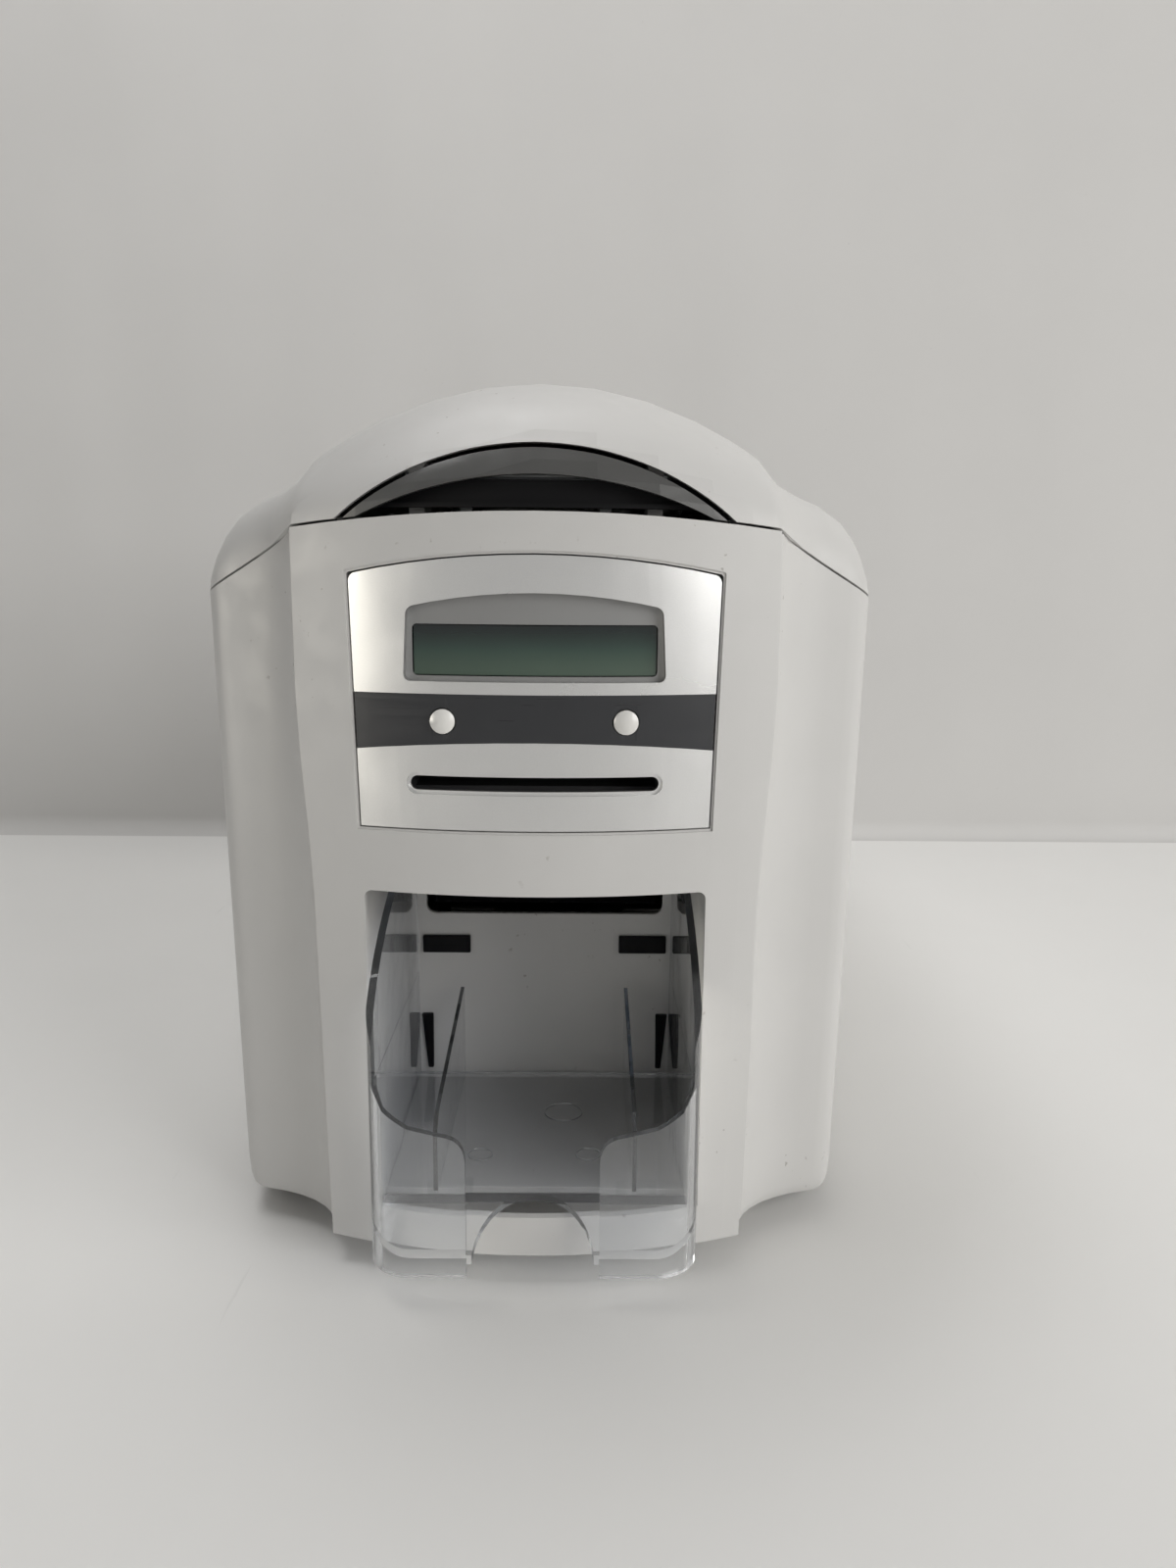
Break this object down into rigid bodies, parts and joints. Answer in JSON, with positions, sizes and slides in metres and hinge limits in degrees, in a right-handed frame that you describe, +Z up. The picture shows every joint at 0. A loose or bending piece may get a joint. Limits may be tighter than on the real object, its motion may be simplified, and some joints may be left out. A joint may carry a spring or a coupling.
{
  "type": "id card printer",
  "caption": "Desktop ID card printer with a hinged lid, a lens-shaped lid handle, a front control panel and a clear card hopper that slides out.",
  "frame": {"origin": "middle of the bounding box's base, on the surface that the feet stand on", "axes": "+Z up, -Y towards the front with the hopper and control panel, +X to the right as seen from the front"},
  "size_m": [0.2198, 0.453, 0.25],
  "materials": {
    "casing_plastic": "light warm grey moulded ABS, fine spark texture",
    "silver_paint": "satin silver paint with a fine metallic flake",
    "charcoal_band": "charcoal satin film",
    "clear_smoke": "clear polycarbonate with a light smoke tint",
    "button_plastic": "pearly white",
    "handle_plastic": "dark grey-green, semi-matte",
    "black_plastic": "black moulded plastic",
    "lcd_glass": "dark green character display",
    "display_frame": "grey display frame",
    "circuit_board": "green solder mask with components",
    "rubber": "black rubber",
    "roller_rubber": "ground roller rubber",
    "zinc_steel": "zinc-plated steel",
    "aluminium": "extruded aluminium",
    "bronze": "sintered bronze",
    "gear_plastic": "natural acetal",
    "inner_plastic": "dark grey moulded plastic",
    "dye_film": "thin dye film",
    "ceramic": "glazed print line on a dark body"
  },
  "bodies": {
    "casing": {"body_shell": "casing_plastic", "base_pan": "casing_plastic", "front_fascia": "casing_plastic", "control_panel": "silver_paint", "panel_band": "charcoal_band", "lcd_window": "display_frame", "lcd_module": "lcd_glass", "control_board": "circuit_board", "rubber_feet": "rubber", "hopper_bay": "casing_plastic", "card_stop_pads": "black_plastic", "hand_feed_guide": "inner_plastic", "left_side_plate": "zinc_steel", "right_side_plate": "zinc_steel", "tie_rods": "zinc_steel", "shaft_bushes": "bronze", "drive_motor": "zinc_steel", "take_up_motor": "zinc_steel", "main_board": "circuit_board", "connector_panel": "black_plastic", "dc_inlet": "black_plastic", "usb_socket": "zinc_steel", "network_socket": "zinc_steel", "casing_screws": "zinc_steel", "film_guide_rods": "zinc_steel", "hinge_brackets": "zinc_steel", "hinge_pins": "zinc_steel", "latch_strike": "zinc_steel", "card_guide": "inner_plastic", "output_chute": "black_plastic", "transfer_film": "dye_film"},
    "lid": {"lid_shell": "casing_plastic", "lid_frame": "casing_plastic", "lid_hinge_arms": "zinc_steel", "handle_scoop": "black_plastic", "head_bracket": "aluminium", "print_head": "ceramic", "head_heatsink": "aluminium", "head_springs": "zinc_steel"},
    "latch": {"latch_handle": "handle_plastic", "latch_shaft": "zinc_steel", "latch_hooks": "zinc_steel"},
    "hopper": {"hopper_tray": "clear_smoke"},
    "left_button": {"button_left": "button_plastic"},
    "right_button": {"button_right": "button_plastic"},
    "rocker": {"power_rocker": "black_plastic"},
    "platen": {"platen_roller": "roller_rubber"},
    "front_feed": {"front_feed_roller": "roller_rubber"},
    "rear_feed": {"rear_feed_roller": "roller_rubber"},
    "cleaner": {"cleaning_roller": "roller_rubber"},
    "front_pinch": {"front_pinch_roller": "roller_rubber"},
    "rear_pinch": {"rear_pinch_roller": "roller_rubber"},
    "picker": {"pick_roller": "roller_rubber"},
    "front_idler": {"idler_gear_front": "gear_plastic"},
    "rear_idler": {"idler_gear_rear": "gear_plastic"},
    "drive_pinion": {"motor_pinion": "bronze"},
    "supply": {"supply_spool": "gear_plastic"},
    "take_up": {"take_up_spool": "gear_plastic"},
    "film_pinion": {"take_up_pinion": "bronze"}
  },
  "joints": [
    {"name": "lid_hinge", "type": "hinge", "parent": "casing", "child": "lid", "pos_m": [0, 0.2205, 0.19], "axis": [-1, 0, 0], "range_deg": [0, 78]},
    {"name": "handle_pull", "type": "hinge", "parent": "lid", "child": "latch", "pos_m": [0, -0.197, 0.221], "axis": [-1, 0, 0], "range_deg": [0, 6], "stiffness_Nm_per_rad": 0.6, "springref_deg": -2.86},
    {"name": "hopper_slide", "type": "slide", "parent": "casing", "child": "hopper", "axis": [0, -1, 0], "range_m": [0, 0.09]},
    {"name": "left_button_press", "type": "slide", "parent": "casing", "child": "left_button", "axis": [0, 1, 0], "range_m": [0, 0.0008], "stiffness_N_per_m": 600, "springref_m": -0.0005},
    {"name": "right_button_press", "type": "slide", "parent": "casing", "child": "right_button", "axis": [0, 1, 0], "range_m": [0, 0.0008], "stiffness_N_per_m": 600, "springref_m": -0.0005},
    {"name": "power_rock", "type": "hinge", "parent": "casing", "child": "rocker", "pos_m": [0, 0.209, 0.042], "axis": [1, 0, 0], "range_deg": [0, 14]},
    {"name": "platen_spin", "type": "hinge", "parent": "casing", "child": "platen", "pos_m": [0, -0.035, 0.13242], "axis": [1, 0, 0], "continuous": true},
    {"name": "front_feed_spin", "type": "hinge", "parent": "casing", "child": "front_feed", "pos_m": [0, -0.085, 0.13242], "axis": [1, 0, 0], "continuous": true},
    {"name": "rear_feed_spin", "type": "hinge", "parent": "casing", "child": "rear_feed", "pos_m": [0, 0.015, 0.13242], "axis": [1, 0, 0], "continuous": true},
    {"name": "cleaner_spin", "type": "hinge", "parent": "casing", "child": "cleaner", "pos_m": [0, 0.05, 0.13242], "axis": [1, 0, 0], "continuous": true},
    {"name": "front_pinch_spin", "type": "hinge", "parent": "casing", "child": "front_pinch", "pos_m": [0, -0.085, 0.14853], "axis": [1, 0, 0], "continuous": true},
    {"name": "rear_pinch_spin", "type": "hinge", "parent": "casing", "child": "rear_pinch", "pos_m": [0, 0.015, 0.14853], "axis": [1, 0, 0], "continuous": true},
    {"name": "picker_spin", "type": "hinge", "parent": "casing", "child": "picker", "pos_m": [0, -0.112, 0.03], "axis": [1, 0, 0], "continuous": true},
    {"name": "front_idler_spin", "type": "hinge", "parent": "casing", "child": "front_idler", "pos_m": [0, -0.06, 0.13242], "axis": [1, 0, 0], "continuous": true},
    {"name": "rear_idler_spin", "type": "hinge", "parent": "casing", "child": "rear_idler", "pos_m": [0, -0.01, 0.13242], "axis": [1, 0, 0], "continuous": true},
    {"name": "drive_pinion_spin", "type": "hinge", "parent": "casing", "child": "drive_pinion", "pos_m": [0, -0.01, 0.11342], "axis": [1, 0, 0], "continuous": true},
    {"name": "supply_spin", "type": "hinge", "parent": "casing", "child": "supply", "pos_m": [0, 0.052, 0.168], "axis": [1, 0, 0], "continuous": true},
    {"name": "take_up_spin", "type": "hinge", "parent": "casing", "child": "take_up", "pos_m": [0, -0.112, 0.164], "axis": [1, 0, 0], "continuous": true},
    {"name": "film_pinion_spin", "type": "hinge", "parent": "casing", "child": "film_pinion", "pos_m": [0, -0.112, 0.146], "axis": [1, 0, 0], "continuous": true}
  ],
  "couplings": [
    {"joint": "front_idler_spin", "follows": "platen_spin", "ratio": -0.92308},
    {"joint": "rear_idler_spin", "follows": "platen_spin", "ratio": -0.92308},
    {"joint": "front_feed_spin", "follows": "platen_spin", "ratio": 1},
    {"joint": "rear_feed_spin", "follows": "platen_spin", "ratio": 1},
    {"joint": "drive_pinion_spin", "follows": "platen_spin", "ratio": 2},
    {"joint": "film_pinion_spin", "follows": "take_up_spin", "ratio": -2}
  ]
}
